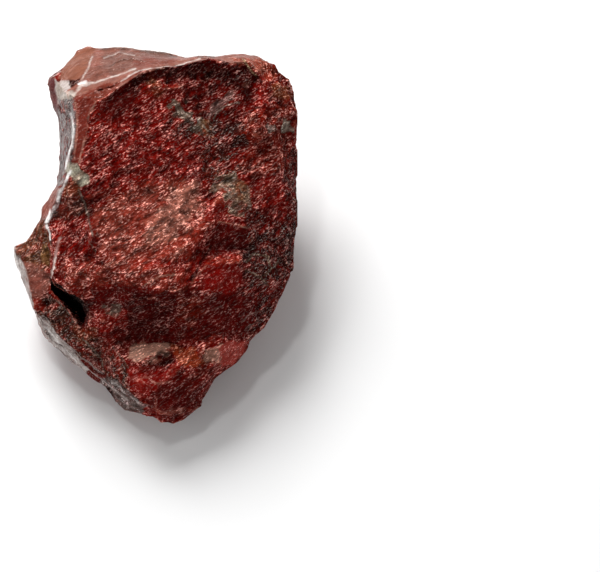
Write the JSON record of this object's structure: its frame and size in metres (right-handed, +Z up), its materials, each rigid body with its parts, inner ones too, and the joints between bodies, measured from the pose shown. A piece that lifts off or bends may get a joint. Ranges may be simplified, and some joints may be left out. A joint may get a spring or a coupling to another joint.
{
  "type": "rough red jasper stone",
  "caption": "Rough lump of red jasper with broken faces, ridges and a dark hollow under a ledge, lying flat side down with its broad broken face turned up.",
  "frame": {"origin": "middle of the footprint at the level of the surface it lies on", "axes": "+Z up from the surface it lies on, -Y towards the stone's narrow tip and the viewer, +X to the viewer's right"},
  "size_m": [0.057, 0.0708, 0.044],
  "materials": {
    "red_jasper": "waxy broken surface, semi-gloss"
  },
  "bodies": {
    "root": {"jasper_stone": "red_jasper"}
  },
  "joints": []
}
